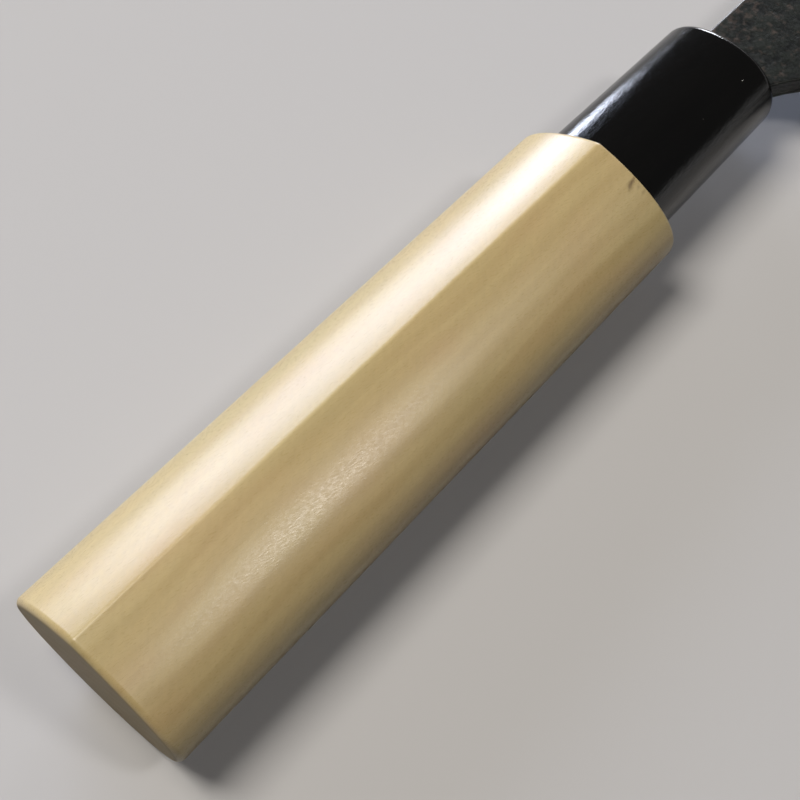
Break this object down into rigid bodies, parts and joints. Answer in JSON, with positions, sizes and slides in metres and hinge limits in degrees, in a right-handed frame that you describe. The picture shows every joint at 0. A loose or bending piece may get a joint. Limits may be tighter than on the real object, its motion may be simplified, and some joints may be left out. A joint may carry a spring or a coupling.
{
  "type": "santoku knife",
  "caption": "Santoku kitchen knife: a laminated dropped-nose blade with a hidden tang, in a D-shaped wooden handle with a black oval ferrule.",
  "frame": {"origin": "middle of the handle's flat butt end, on the blade's mid-plane", "axes": "+X along the handle towards the blade's tip, +Y towards the spine, +Z to the knife's right side, which has the handle's ridge"},
  "size_m": [0.3049, 0.0546, 0.021],
  "materials": {
    "magnolia_wood": "satin, sanded and unlacquered",
    "black_horn": "polished black horn",
    "black_resin": "matt resin",
    "carbon_steel": "ground and stone-honed",
    "forge_scaled_iron": "black forge scale"
  },
  "bodies": {
    "root": {"handle_grip": "magnolia_wood", "ferrule": "black_horn", "tang_seal": "black_resin", "core_steel": "carbon_steel", "right_cladding": "forge_scaled_iron", "left_cladding": "forge_scaled_iron"}
  },
  "joints": []
}
